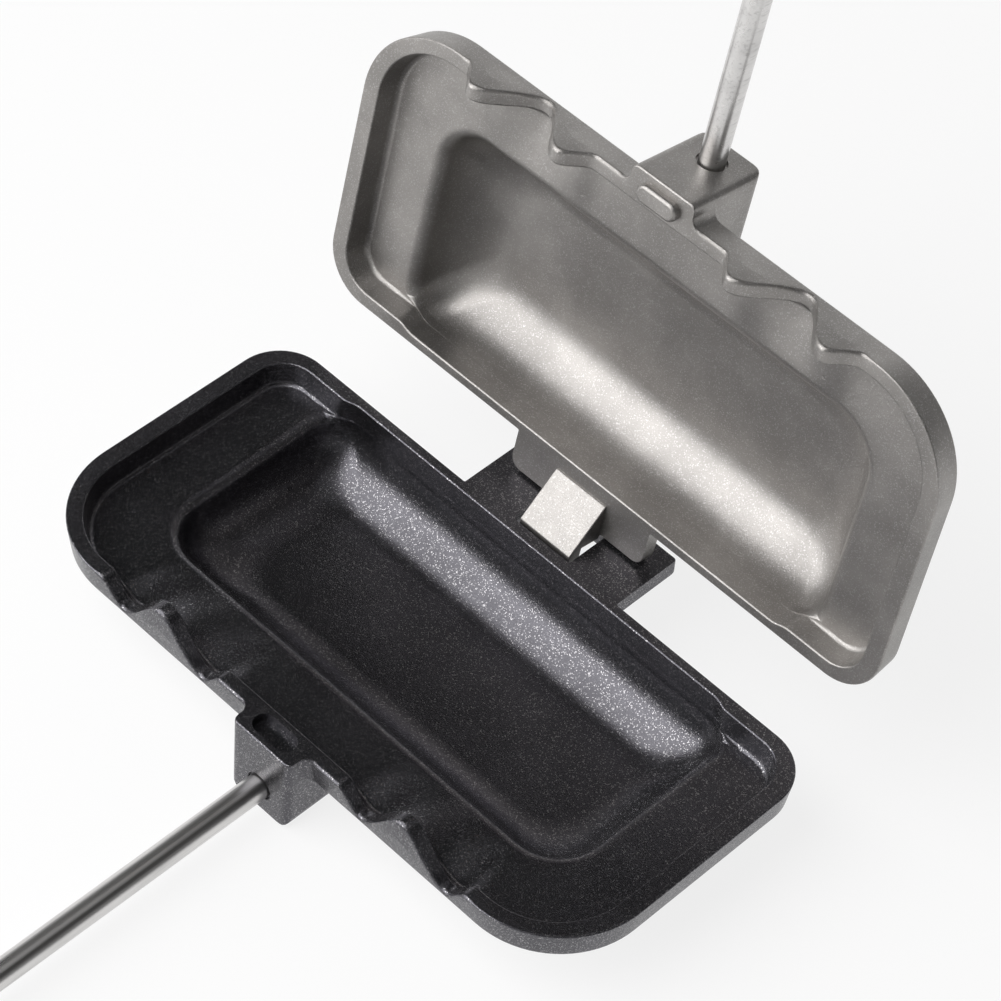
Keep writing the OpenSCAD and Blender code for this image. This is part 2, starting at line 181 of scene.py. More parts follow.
class FinishColours(bpy.types.PropertyGroup):
    """Colours of the iron's finishes"""

    black_coat: colour("Black coat", (0.086, 0.084, 0.093), "Non-stick coat of the lower half")
    grey_coat: colour("Grey coat", (0.305, 0.292, 0.280), "Non-stick coat of the upper half")
    mica: colour("Mica", (0.85, 0.83, 0.84), "Tiny bright flecks in both coats")
    rod: colour("Rod steel", (0.68, 0.67, 0.66), "Drawn steel of the rods")
    dull_steel: colour("Dull steel", (0.36, 0.37, 0.39), "Pins, tangs, bolsters and latch")
    black_steel: colour("Black steel", (0.03, 0.03, 0.033), "Grub screws")
    brass: colour("Brass", (0.60, 0.43, 0.17), "Rivets and eyelets")
    wood_light: colour("Light wood", (0.40, 0.20, 0.085), "Pale part of the wood's grain")
    wood_dark: colour("Dark wood", (0.17, 0.07, 0.027), "Dark part of the wood's grain")


class StudioSettings(bpy.types.PropertyGroup):
    """The camera and the light"""

    camera_at: spot("Camera place", (0.37385, -0.40118, 0.70690), "Where the camera stands")
    camera_turn: bpy.props.FloatVectorProperty(
        name="Camera turn", description="How the camera is turned", size=3,
        default=tuple(math.radians(a) for a in (40.7708, -3.6620, 45.3915)), subtype="EULER",
    )
    lens: bpy.props.FloatProperty(
        name="Lens", description="Focal length in millimetres on a 36 mm sensor", default=135.69, min=10.0
    )
    aim: spot("Aim", (0, 0.02, 0.04), "Where both soft boxes point")
    key_at: spot("Key place", (-0.55, -0.80, 0.85), "Where the soft box at the left stands")
    key_w: length("Key width", 1600, "Width of the soft box at the left")
    key_h: length("Key height", 2200, "Height of the soft box at the left")
    key_power: bpy.props.FloatProperty(
        name="Key power", description="Power of the soft box at the left", default=29.0, min=0.0, unit="POWER"
    )
    fill_at: spot("Fill place", (0.25, 0.1, 1.5), "Where the soft box above hangs")
    fill_w: length("Fill width", 1200, "Width of the soft box above")
    fill_power: bpy.props.FloatProperty(
        name="Fill power", description="Power of the soft box above", default=1.0, min=0.0, unit="POWER"
    )
    ceiling: share("Ceiling", 0.02, "How bright the surroundings are straight above")
    floor_glow: share("Floor glow", 0.82, "How far the floor's own white covers the shadow on it")


# ---- Materials ----


class Field:
    """A shader socket that takes part in arithmetic; each operator adds its Math node"""

    def __init__(self, finish, socket):
        self.finish, self.socket = finish, socket

    def maths(self, operation, *values):
        node = self.finish.node("ShaderNodeMath", {"operation": operation}, dict(enumerate(values)))
        return Field(self.finish, node.outputs[0])

    def __add__(self, other):
        return self.maths("ADD", self, other)

    def __radd__(self, other):
        return self.maths("ADD", other, self)

    def __sub__(self, other):
        return self.maths("SUBTRACT", self, other)

    def __rsub__(self, other):
        return self.maths("SUBTRACT", other, self)

    def __mul__(self, other):
        return self.maths("MULTIPLY", self, other)

    def __rmul__(self, other):
        return self.maths("MULTIPLY", other, self)

    def over(self, edge):
        """1 where the field is above edge"""
        return self.maths("GREATER_THAN", self, edge)

    def ramp(self, low, high):
        """0 at low and 1 at high, smooth between"""
        settings = {"interpolation_type": "SMOOTHSTEP"}
        node = self.finish.node("ShaderNodeMapRange", settings, {0: self, 1: low, 2: high})
        return Field(self.finish, node.outputs[0])


class NodeTree:
    """A shader tree under construction"""

    def __init__(self, tree):
        self.tree = tree

    def node(self, kind, settings=None, inputs=None):
        node = self.tree.nodes.new(kind)
        for key, value in (settings or {}).items():
            setattr(node, key, value)
        self.feed(node, inputs or {})
        return node

    def feed(self, node, inputs):
        for key, value in inputs.items():
            if isinstance(value, Field):
                value = value.socket
            if isinstance(value, bpy.types.NodeSocket):
                self.tree.links.new(value, node.inputs[key])
            else:
                node.inputs[key].default_value = value


class Finish(NodeTree):
    """A material under construction, with its one Principled shader"""

    def __init__(self, name):
        self.material = bpy.data.materials.new(name)
        self.material.use_nodes = True
        super().__init__(self.material.node_tree)
        self.shader = self.tree.nodes["Principled BSDF"]
        self.place = self.node("ShaderNodeTexCoord").outputs["Object"]

    def turned(self, turn=(0, 0, 0), scale=(1, 1, 1)):
        """The piece's place, turned and stretched"""
        inputs = {"Vector": self.place, "Rotation": turn, "Scale": scale}
        return self.node("ShaderNodeMapping", None, inputs).outputs[0]

    def noise(self, scale, detail=2.0, roughness=0.5, at=None, distortion=0.0):
        inputs = {
            "Vector": at or self.place, "Scale": scale, "Detail": detail,
            "Roughness": roughness, "Distortion": distortion,
        }
        return Field(self, self.node("ShaderNodeTexNoise", None, inputs).outputs["Fac"])

    def cells(self, scale, at=None):
        """A random number for each cell of the given scale, and how far off the cell's point is"""
        node = self.node("ShaderNodeTexVoronoi", None, {"Vector": at or self.place, "Scale": scale})
        parts = self.node("ShaderNodeSeparateColor", None, {0: node.outputs["Color"]})
        return Field(self, parts.outputs[0]), Field(self, node.outputs["Distance"])

    def blend(self, low, high, factor):
        """A colour between two colours"""
        inputs = {"Factor": factor, 6: rgba(low), 7: rgba(high)}
        return self.node("ShaderNodeMix", {"data_type": "RGBA"}, inputs).outputs[2]

    def bump(self, height, distance, strength=1.0, over=None):
        inputs = {"Height": height, "Distance": distance, "Strength": strength}
        if over is not None:
            inputs["Normal"] = over
        return self.node("ShaderNodeBump", None, inputs).outputs[0]

    def done(self, **inputs):
        self.feed(self.shader, {key.replace("_", " "): value for key, value in inputs.items()})
        return self.material


def rgba(value):
    """A colour as a socket takes it; a link passes as it is"""
    return value if isinstance(value, bpy.types.NodeSocket) else (*value[:3], 1.0)


def cast_coat(name, coat, mica, sparkle, roughness):
    """Satin metallic non-stick coat over a blasted casting, with mica flecks and a few pits"""
    finish = Finish(name)
    luck, _ = finish.cells(4200)
    grain = finish.noise(2600, 2.0, 0.6)
    cloud = finish.noise(45, 3.0, 0.6)
    pit_luck, pit_far = finish.cells(240)
    pits = pit_luck.over(0.965) * (1 - pit_far.ramp(0.06, 0.16))
    flecks = luck.ramp(0.80, 1.0)
    body = finish.blend(tuple(c * 0.85 for c in coat), tuple(c * 1.15 for c in coat), cloud.ramp(0.3, 0.75))
    fine = finish.bump(grain + luck * 1.2, 0.00004)
    return finish.done(
        Base_Color=finish.blend(body, mica, flecks * sparkle),
        Metallic=0.94,
        Roughness=roughness + cloud * 0.06,
        Normal=finish.bump(cloud - pits * 0.6, 0.0002, 0.5, over=fine),
    )


def drawn_steel(name, steel, turn=(0, 0, 0)):
    """Bright drawn bar, brushed along its length, with a little tarnish"""
    finish = Finish(name)
    lines = finish.noise(1.0, 3.0, 0.6, at=finish.turned(turn, (1500, 12, 1500)))
    cloud = finish.noise(1.0, 3.0, 0.6, at=finish.turned(turn, (160, 30, 160)))
    tarnish = cloud.ramp(0.45, 0.85) * 0.6 + lines.ramp(0.5, 0.7) * 0.5
    return finish.done(
        Base_Color=finish.blend(steel, tuple(c * 0.62 for c in steel), tarnish),
        Metallic=1.0,
        Roughness=0.2 + cloud * 0.1 + lines * 0.08,
        Normal=finish.bump(lines, 0.00003, 0.5),
    )


def dull_metal(name, metal, roughness, scale=220):
    """Satin metal with cloudy handling marks and fine scratches"""
    finish = Finish(name)
    cloud = finish.noise(scale, 4.0, 0.6)
    marks = finish.noise(1.0, 2.0, 0.5, at=finish.turned((0.4, 0.2, 0.9), (150, 2200, 900))).ramp(0.6, 0.75)
    shown = finish.blend(metal, tuple(c * 0.55 for c in metal), cloud.ramp(0.4, 0.8) * 0.7)
    return finish.done(
        Base_Color=shown,
        Metallic=1.0,
        Roughness=roughness + cloud * 0.14 + marks * 0.1,
        Normal=finish.bump(cloud + marks * 0.5, 0.00003, 0.5),
    )


def oiled_wood(name, light, dark, turn):
    """Close-grained wood with its grain along the handle"""
    finish = Finish(name)
    along = finish.turned(turn, (95, 9, 95))
    rings = finish.noise(1.0, 4.0, 0.55, at=along, distortion=0.8)
    pores = finish.noise(1.0, 2.0, 0.5, at=finish.turned(turn, (1500, 60, 1500)))
    dashes = pores.ramp(0.60, 0.72)
    shown = finish.blend(light, dark, rings.ramp(0.32, 0.72))
    shown = finish.blend(shown, tuple(c * 0.45 for c in dark), dashes * 0.6)
    return finish.done(
        Base_Color=shown,
        Roughness=0.44 + rings * 0.12 + dashes * 0.15,
        Normal=finish.bump(rings * 0.3 - dashes, 0.00012, 0.5),
        Coat_Weight=0.12,
        Coat_Roughness=0.3,
    )


def studio_paper(name, glow):
    """White paper, which keeps a soft shadow and shows white to the camera and in metal"""
    finish = Finish(name)
    grain = finish.noise(4.0, 2.0, 0.5)
    finish.done(Base_Color=finish.blend((0.91, 0.91, 0.91), (0.93, 0.93, 0.93), grain), Roughness=0.9)
    path = finish.node("ShaderNodeLightPath").outputs
    seen = (
        Field(finish, path["Is Camera Ray"]) + Field(finish, path["Is Glossy Ray"])
        + Field(finish, path["Is Transmission Ray"])
    )
    white = finish.node("ShaderNodeEmission", None, {"Strength": 1.0})
    mixed = finish.node(
        "ShaderNodeMixShader", None, {0: seen * glow, 1: finish.shader.outputs[0], 2: white.outputs[0]}
    )
    finish.feed(finish.tree.nodes["Material Output"], {"Surface": mixed.outputs[0]})
    return finish.material


def pale_horizon(name, ceiling):
    """Surroundings that are white low down at the left and dark overhead, as in an open light tent"""
    world = bpy.data.worlds.new(name)
    world.use_nodes = True
    sky = NodeTree(world.node_tree)
    way = sky.node("ShaderNodeTexCoord").outputs["Generated"]
    x, y, z = (Field(sky, part) for part in sky.node("ShaderNodeSeparateXYZ", None, {0: way}).outputs)
    low = 1 - (z - y.maths("ABSOLUTE", y) * 0.6).ramp(-0.05, 0.40)
    near = 0.25 + (x * -1).ramp(-0.1, 0.4) * 0.75
    strength = ceiling + low * near * (1 - ceiling)
    sky.feed(sky.tree.nodes["Background"], {"Color": (1.0, 1.0, 1.0, 1.0), "Strength": strength})
    return world


# ---- Pieces ----


def half_place(upper):
    """From a half's own frame, with its rim at Z = 0 and its body below, to the row frame"""
    if not upper:
        return Matrix.Translation((0, 0, PARTING))
    pivot = Vector(HINGE["pos_m"])
    rise = pivot.z - PARTING
    return (
        Matrix.Translation(pivot) @ Matrix.Rotation(-OPENED, 4, "X")
        @ Matrix.Translation((0, -pivot.y, MATING_GAP - rise))
        @ Matrix.Diagonal((1, 1, -1, 1))
    )


def show(name, mesh_data, material, body, replaced=()):
    """Turns a bmesh into a finished piece that rides on its body"""
    mesh = bpy.data.meshes.new(name)
    mesh_data.to_mesh(mesh)
    mesh_data.free()
    mesh.materials.append(material)
    mesh.shade_smooth()
    mesh.set_sharp_from_angle(angle=SMOOTH_ANGLE)
    piece = bpy.data.objects.new(name, mesh)
    bpy.context.scene.collection.objects.link(piece)
    weighted = piece.modifiers.new("even_shading", "WEIGHTED_NORMAL")
    weighted.keep_sharp = True
    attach(piece, body)
    if replaced:
        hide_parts(*replaced)
    return piece


def cut(mesh_data, cutter):
    """mesh_data less cutter; both are used up"""
    parts = []
    for form, label in ((mesh_data, "form"), (cutter, "cutter")):
        mesh = bpy.data.meshes.new(label)
        form.to_mesh(mesh)
        form.free()
        part = bpy.data.objects.new(label, mesh)
        bpy.context.scene.collection.objects.link(part)
        parts.append(part)
    base, tool = parts
    modifier = base.modifiers.new("cut", "BOOLEAN")
    modifier.operation, modifier.solver, modifier.object = "DIFFERENCE", "EXACT", tool
    modifier.use_self = True
    depsgraph = bpy.context.evaluated_depsgraph_get()
    result = bmesh.new()
    result.from_mesh(base.evaluated_get(depsgraph).to_mesh())
    for part in parts:
        mesh = part.data
        bpy.data.objects.remove(part)
        bpy.data.meshes.remove(mesh)
    return result


def add_bar(form, outline, matrix, depth, edge=0.0):
    """Adds a straight bar of the given outline, centred on its depth, with softened edges"""
    corners = [form.verts.new((x, y, -depth / 2)) for x, y in outline]
    face = form.faces.new(corners)
    grown = bmesh.ops.extrude_face_region(form, geom=[face])["geom"]
    upper = [v for v in grown if isinstance(v, bmesh.types.BMVert)]
    bmesh.ops.translate(form, verts=upper, vec=(0, 0, depth))
    verts = corners + upper
    faces = dict.fromkeys(f for v in verts for f in v.link_faces)
    bmesh.ops.recalc_face_normals(form, faces=list(faces))
    if edge:
        edges = dict.fromkeys(e for v in verts for e in v.link_edges)
        made = bmesh.ops.bevel(
            form, geom=[e for e in edges if e.calc_face_angle(0.0) > SMOOTH_ANGLE],
            offset=edge, offset_type="OFFSET", segments=EDGE_STEPS,
            profile=0.5, affect="EDGES", material=-1, clamp_overlap=True,
        )
        verts = list(dict.fromkeys([v for v in verts if v.is_valid] + made["verts"]))
    bmesh.ops.transform(form, matrix=matrix, verts=verts)


def obround_outline(full_l, full_w, steps=16):
    """Two half circles and two straights"""
    reach, radius = (full_l - full_w) / 2, full_w / 2
    points = []
    for side in (1, -1):
        for i in range(steps + 1):
            angle = math.pi * i / steps - side * math.pi / 2
            points.append((side * reach + radius * math.cos(angle), radius * math.sin(angle)))
    return points


def circle_outline(radius, steps=48):
    return [
        (radius * math.cos(2 * math.pi * i / steps), radius * math.sin(2 * math.pi * i / steps))
        for i in range(steps)
    ]


def softened(node, name, edge, material, body, segments=2):
    """A copy of a CAD node with its sharp edges rounded, in the node's place"""
    form = bmesh.new()
    form.from_mesh(frame["nodes"][node].data)
    bmesh.ops.remove_doubles(form, verts=form.verts, dist=MERGE_GAP)
    bmesh.ops.dissolve_limit(
        form, angle_limit=FLAT_ANGLE, verts=form.verts, edges=form.edges, use_dissolve_boundaries=False
    )
    edges = [e for e in form.edges if e.is_manifold and e.calc_face_angle(0.0) > SMOOTH_ANGLE]
    bmesh.ops.bevel(
        form, geom=edges, offset=edge, offset_type="OFFSET", segments=segments,
        profile=0.5, affect="EDGES", material=-1, clamp_overlap=True,
    )
    return show(name, form, material, body, [node])


# ---- Castings ----


def quarter(steps):
    """Angles from 0 to a quarter turn"""
    return [math.radians(90) * i / steps for i in range(steps + 1)]


def smooth_step(low, high, value):
    t = min(max((value - low) / (high - low), 0.0), 1.0)
    return t * t * (3 - 2 * t)


def fillet(distance, radius):
    """Height of a concave fillet at a distance from the wall it climbs"""
    if distance >= radius:
        return 0.0
    return radius - math.sqrt(radius ** 2 - (radius - max(distance, 0.0)) ** 2)


def corner_drop(distance, radius):
    """How far a rounded corner has fallen at a distance past its start"""
    return radius - math.sqrt(max(radius ** 2 - min(max(distance, 0.0), radius) ** 2, 0.0))


def crimp(sizes, distance):
    """Height of the wave above the rim, at a distance from the middle"""
    at = (distance - sizes.crimp_start) / sizes.crimp_pitch
    fall, rise = -sizes.crimp_fall, sizes.crimp_rise
    stops = [(0, 0), (0.25, fall), (0.75, rise), (1.25, fall), (WAVES, 0)]
    for (start, low), (end, high) in zip(stops, stops[1:]):
        if start < at <= end:
            return low + (high - low) * (1 - math.cos(math.pi * (at - start) / (end - start))) / 2
    return 0.0


class Plan:
    """A rounded rectangle with one radius at the handle side and one at the hinge side"""

    def __init__(self, half_x, front, back, front_r, back_r):
        self.half_x, self.front, self.back = half_x, front, back
        self.front_r, self.back_r = front_r, back_r

    def inset(self, d):
        """The same plan drawn in by d all round"""
        return Plan(
            self.half_x - d, self.front + d, self.back - d,
            max(self.front_r - d, LEAST_RADIUS), max(self.back_r - d, LEAST_RADIUS),
        )

    def nearest(self, x, y):
        """The point of the outline nearest to a point outside it"""
        side = math.copysign(1.0, x)
        ax = abs(x)
        for radius, centre_y, way in (
            (self.front_r, self.front + self.front_r, -1), (self.back_r, self.back - self.back_r, 1)
        ):
            centre_x = self.half_x - radius
            if ax > centre_x and (y - centre_y) * way > 0:
                away = Vector((ax - centre_x, y - centre_y)).normalized() * radius
                return side * (centre_x + away.x), centre_y + away.y
        if y > self.back - self.back_r:
            return x, self.back
        if y < self.front + self.front_r:
            return x, self.front
        return side * self.half_x, y


def spread(start, end, step):
    """Evenly spaced numbers from start to end, about step apart"""
    count = max(1, math.ceil(abs(end - start) / step - 1e-6))
    return [start + (end - start) * i / count for i in range(count + 1)]


def stations(sizes, plate_half_w, plate_r):
    """Points round the outer rim, with the side each is on, closer together where the shape changes"""
    s = sizes
    front_reach, back_reach = s.half_l - s.front_r, s.half_l - s.back_r
    block = s.block_half_w
    web = [block + s.web_r * t for t in WEB_SHARES]
    wave_end = s.crimp_start + WAVES * s.crimp_pitch
    front = (
        spread(0, block - s.block_edge_r, WIDE)[:-1]
        + [block - s.block_edge_r * t for t in BLOCK_SHARES]
        + web + spread(block + s.web_r, s.crimp_start, WIDE)[1:-1]
        + spread(s.crimp_start, wave_end, FINE) + spread(wave_end, front_reach, EVEN)[1:]
    )
    plate = [plate_half_w - plate_r * t for t in PLATE_SHARES]
    plate += [plate_half_w + s.plate_web_r * t for t in PLATE_WEB_SHARES]
    back = spread(0, plate_half_w - plate_r, 2 * EVEN)[:-1] + plate
    back += spread(plate[-1], back_reach, FINE)[1:]
    track = []
    for x in [-v for v in reversed(front)] + front[1:]:
        track.append(("front", x, -s.half_w))
    for side in (1, -1):
        bend = []
        for angle in spread(-90, 0, 4.5)[1:-1]:
            a = math.radians(angle)
            bend.append((
                front_reach + s.front_r * math.cos(a), -s.half_w + s.front_r + s.front_r * math.sin(a)
            ))
        bend += [(s.half_l, y) for y in spread(-s.half_w + s.front_r, s.half_w - s.back_r, EVEN)]
        for angle in spread(0, 90, 6)[1:-1]:
            a = math.radians(angle)
            bend.append((back_reach + s.back_r * math.cos(a), s.half_w - s.back_r + s.back_r * math.sin(a)))
        if side > 0:
            track += [("end", x, y) for x, y in bend]
            track += [("back", x, s.half_w) for x in [v for v in reversed(back)] + [-v for v in back[1:]]]
        else:
            track += [("end", -x, y) for x, y in reversed(bend)]
    return track


def smooth_max(a, b, blend):
    """The greater of two numbers, with the step between them rounded"""
    overlap = max(blend - abs(a - b), 0.0) / blend
    return max(a, b) + overlap ** 2 * blend / 4


def casting_levels(sizes, way, plate_half_w, plate_out, plate_t, plate_r):
    """Rings from the trough's bottom, over the rim, to the bottom below; one list of points a ring"""
    s = sizes
    track = stations(s, plate_half_w, plate_r)
    outer = Plan(s.half_l, -s.half_w, s.half_w, s.front_r, s.back_r)
    tray = Plan(
        s.half_l - s.rim_end, -s.half_w + s.rim_front, s.half_w - s.rim_back,
        s.front_r - s.rim_end, s.back_r - s.rim_back,
    )
    wave_end = s.crimp_start + WAVES * s.crimp_pitch

    def trough_plan(inset):
        """Outline of the trough at an inset; its corners keep their radius as it narrows"""
        rounder = max(-inset, 0.0)
        return Plan(
            s.trough_half_l - inset, -s.trough_front + inset, s.trough_back - inset,
            s.trough_front_r + rounder, s.trough_back_r + rounder,
        )

    def wall_point(inset, kind, x, y):
        """On the tray's wall, which beside the hinge gives way to the trough's own wall"""
        px, py = tray.inset(inset).nearest(x, y)
        if kind != "front" and y > 0:
            past = abs(px) - (s.trough_half_l - s.trough_back_r)
            if past < s.trough_back_r:
                py = smooth_max(py, s.trough_back - corner_drop(past, s.trough_back_r), s.jog_blend)
        return Vector((px, py))

    def wave(kind, x):
        return way * crimp(s, abs(x)) if kind == "front" else 0.0

    def floor_z(kind, x, share_out=1.0):
        """Height of the tray, which follows the wave a little near the crimp"""
        return -s.tray + wave(kind, x) * s.pleat / s.crimp_rise * share_out

    rings = []
    hub = Vector((s.trough_r, s.trough_r - s.trough))
    lip_rise = -s.tray - s.lip_r - hub.y
    lip_run = math.sqrt((s.trough_r + s.lip_r) ** 2 - lip_rise ** 2)
    lip_hub = Vector((hub.x - lip_run, hub.y + lip_rise))
    tilt = math.atan2(-lip_rise, lip_run)
    foot_inset = hub.x + s.trough_r * math.cos(math.pi + tilt)

    # The trough, from its bottom to the foot of the lip
    for i in range(TROUGH_STEPS + 1):
        angle = math.radians(270) - (math.radians(90) - tilt) * i / TROUGH_STEPS
        plan = trough_plan(hub.x + s.trough_r * math.cos(angle))
        z = hub.y + s.trough_r * math.sin(angle)
        rings.append([(*plan.nearest(x, y), z) for kind, x, y in track])

    # Lip, tray and fillet; where the trough meets the wall these close up into one upright wall
    spans = []
    for kind, x, y in track:
        start = Vector(trough_plan(foot_inset).nearest(x, y))
        end = wall_point(s.tray_draft, kind, x, y)
        out = Vector((x, y))
        lip_reach = max((out - start).normalized().dot(end - start), 0.0)
        wall_reach = max((out - end).normalized().dot(end - start), 0.0)
        need = 0.0
        if lip_reach > 0 and wall_reach > 0:
            need = (foot_inset - lip_hub.x) / lip_reach + s.fillet_r / wall_reach
        room = min(1.0, LIP_SHARE / need) if need else 0.0
        spans.append((start, end, lip_reach, wall_reach, room))

    def across(name, value):
        """One ring between the feet of lip and wall, at a share through the lip, the floor or the fillet"""
        points = []
        for (kind, x, y), (start, end, lip_reach, wall_reach, room) in zip(track, spans):
            lip_at = room * (foot_inset - lip_hub.x) / lip_reach if room else 0.0
            fillet_at = room * s.fillet_r / wall_reach if room else 0.0
            if name == "lip":
                angle = tilt + (math.radians(90) - tilt) * value
                run = foot_inset - lip_hub.x - s.lip_r * math.cos(angle)
                at = lip_at * run / (foot_inset - lip_hub.x)
                z = lip_hub.y + s.lip_r * math.sin(angle)
            elif name == "floor":
                at = lip_at + (1 - fillet_at - lip_at) * value
                z = floor_z(kind, x, value)
            else:
                angle = math.radians(90) * value
                at = 1 - fillet_at * (1 - math.sin(angle))
                radius = min(s.fillet_r, (wave(kind, x) - floor_z(kind, x)) / 2)
                z = floor_z(kind, x) + radius * (1 - math.cos(angle))
            point = start + (end - start) * at
            points.append((point.x, point.y, z))
        return points

    steps = [("lip", i / LIP_STEPS) for i in range(1, LIP_STEPS + 1)]
    steps += [("floor", value) for value in TRAY_SHARES]
    steps += [("fillet", i / FILLET_STEPS) for i in range(FILLET_STEPS + 1)]
    rings.extend(across(name, value) for name, value in steps)

    # Inner edge of the rim
    for angle in quarter(EDGE_STEPS):
        points = []
        for kind, x, y in track:
            top = wave(kind, x)
            radius = min(s.edge_r, (top - floor_z(kind, x)) / 3)
            point = wall_point(0, kind, x, y)
            out = (Vector((x, y)) - point).normalized() * radius * (1 - math.cos(angle))
            points.append((point.x + out.x, point.y + out.y, top - radius * (1 - math.sin(angle))))
        rings.append(points)

    # Outer edge, wall, hinge plate and socket block
    def outward(kind, x):
        """How far the block or the plate stands out at x"""
        ax = abs(x)
        if kind == "front":
            if ax <= s.block_half_w:
                return s.block_out - corner_drop(ax - s.block_half_w + s.block_front_r, s.block_front_r)
            return fillet(ax - s.block_half_w, s.web_r)
        if kind == "back":
            if ax <= plate_half_w:
                return plate_out - corner_drop(ax - plate_half_w + plate_r, plate_r)
            return fillet(ax - plate_half_w, s.plate_web_r)
        return 0.0

    def edge_radius(kind, x):
        """Radius of the outer edge, which is rounder along the wave"""
        if kind != "front":
            return s.edge_r
        ax = abs(x)
        past_block = smooth_step(s.block_half_w, s.block_half_w + s.web_r, ax)
        past_wave = smooth_step(wave_end, s.half_l - s.front_r, ax)
        return s.edge_r + (s.wave_edge_r - s.edge_r) * (past_block - past_wave)

    def foot(kind, x):
        """Height of the bottom of the wall or block"""
        if kind == "front" and abs(x) <= s.block_half_w:
            return -PARTING + corner_drop(abs(x) - s.block_half_w + s.block_edge_r, s.block_edge_r)
        return -s.flange

    def wall_ring(inset, from_top=None, from_foot=None, along_plate=None, level=0.0):
        """One ring down the outside: by the top edge, by the foot, on the plate or at a level between"""
        points = []
        for kind, x, y in track:
            rounder = edge_radius(kind, x) / s.edge_r if from_top is not None else 1.0
            out = outward(kind, x)
            blocked = smooth_step(0, s.web_r, out) if kind == "front" else 0.0
            top, bottom = wave(kind, x), foot(kind, x)
            if from_top is not None:
                z = top - from_top * rounder
            elif from_foot is not None:
                z = bottom + from_foot
            else:
                z = top + (bottom - top) * level / s.flange
            d = inset * rounder
            on_plate = kind == "back" and along_plate is not None
            plated = smooth_step(0, PLATE_BLEND, out) if on_plate else 0.0
            if on_plate:
                plate_inset, z = along_plate
                d = inset + plate_inset * plated
            depth = max(0.0, min(-z / s.flange, 1.0))
            lean = s.draft * depth * (1 - blocked) * (1 - plated)
            px, py = outer.inset(d + lean).nearest(x, y)
            if kind == "front":
                py -= out
            elif on_plate or (kind == "back" and from_top is not None):
                py += out
            points.append((px, py, z))
        return points

    for angle in quarter(EDGE_STEPS):
        rings.append(wall_ring(s.edge_r * (1 - math.sin(angle)), from_top=s.edge_r * (1 - math.cos(angle))))
    for plate_inset, lift in ((0, s.edge_r), (0.3 * s.edge_r, 0.3 * s.edge_r), (s.edge_r, 0)):
        rings.append(wall_ring(0, along_plate=(plate_inset, -plate_t + lift), level=plate_t - lift))
    for below_plate in (0.02 * MM, 1.2 * MM):
        rings.append(wall_ring(0, level=plate_t + below_plate))
    for angle in quarter(EDGE_STEPS):
        rings.append(wall_ring(s.edge_r * (1 - math.cos(angle)), from_foot=s.edge_r * (1 - math.sin(angle))))

    # The underside, down the trough's outer wall
    grown = s.trough_r + s.wall
    root_rise = -s.flange - s.root_r - hub.y
    root_run = math.sqrt((grown + s.root_r) ** 2 - root_rise ** 2)
    root_hub = Vector((hub.x - root_run, hub.y + root_rise))
    root_tilt = math.atan2(-root_rise, root_run)
    below = []
    for i in range(ROOT_STEPS + 1):
        angle = math.radians(90) + (root_tilt - math.radians(90)) * i / ROOT_STEPS
        below.append((root_hub.x + s.root_r * math.cos(angle), root_hub.y + s.root_r * math.sin(angle)))
    for i in range(1, BELOW_STEPS + 1):
        angle = math.radians(180) + root_tilt + (math.radians(90) - root_tilt) * i / BELOW_STEPS
        below.append((hub.x + grown * math.cos(angle), hub.y + grown * math.sin(angle)))
    last = rings[-1]
    for inset, z in below:
        plan = trough_plan(inset)
        points = []
        for index, (kind, x, y) in enumerate(track):
            px, py = plan.nearest(x, y)
            if kind != "front" and y > 0:
                py = min(py, last[index][1] - RING_GAP)
            under_block = kind == "front" and abs(x) <= s.block_half_w
            points.append((px, py, min(z, foot(kind, x)) if under_block else z))
        last = points
        rings.append(points)
    return rings


def lofted(rings):
    """One closed skin through all rings, with a face over each open end"""
    form = bmesh.new()
    verts = [form.verts.new(p) for p in rings[0]]
    edges = [form.edges.new((a, b)) for a, b in zip(verts, verts[1:] + verts[:1])]
    form.faces.new(verts)
    for points in rings[1:]:
        grown = bmesh.ops.extrude_edge_only(form, edges=edges)["geom"]
        fresh = {vert for part in grown if isinstance(part, bmesh.types.BMEdge) for vert in part.verts}
        verts = [next(e.other_vert(v) for e in v.link_edges if e.other_vert(v) in fresh) for v in verts]
        for vert, point in zip(verts, points):
            vert.co = point
        pairs = zip(verts, verts[1:] + verts[:1])
        edges = [next(e for e in a.link_edges if e.other_vert(a) is b) for a, b in pairs]
    form.faces.new(verts)
    bmesh.ops.recalc_face_normals(form, faces=form.faces)
    return form


def casting_cuts(sizes, lower):
    """Socket bore and pin hole, and what the lower half has besides"""
    s = sizes
    cutter = bmesh.new()
    mouth_y = -s.half_w - s.block_out
    along_y = Matrix.Translation((0, mouth_y, -s.rod_drop)) @ Matrix.Rotation(math.radians(90), 4, "X")
    for radius, depth in ((s.socket_r, s.socket_depth), (s.mouth_r, s.mouth_depth)):
        add_bar(cutter, circle_outline(radius), along_y, 2 * depth)
    pin = Matrix.Translation((0, mouth_y + s.pin_in, -PARTING))
    add_bar(cutter, circle_outline(s.pin_r, steps=24), pin, 2 * s.pin_depth)
    if lower:
        recess = Matrix.Translation((0, -s.half_w - s.boss_in, 0))
        add_bar(cutter, obround_outline(s.recess_l, s.recess_w), recess, 2 * s.recess_depth)
        near, far = s.half_w + s.slot_near, s.half_w + s.slot_far
        x = s.slot_half_w
        slot = [(-x, near), (x, near), (x, far), (-x, far)]
        add_bar(cutter, slot, Matrix.Identity(4), 2 * s.lower_plate_t + 4 * MM)
    return cutter


def finish_half(form, upper):
    """Puts a half into the row frame"""
    bmesh.ops.transform(form, matrix=half_place(upper), verts=form.verts)
    bmesh.ops.recalc_face_normals(form, faces=form.faces)
    return form


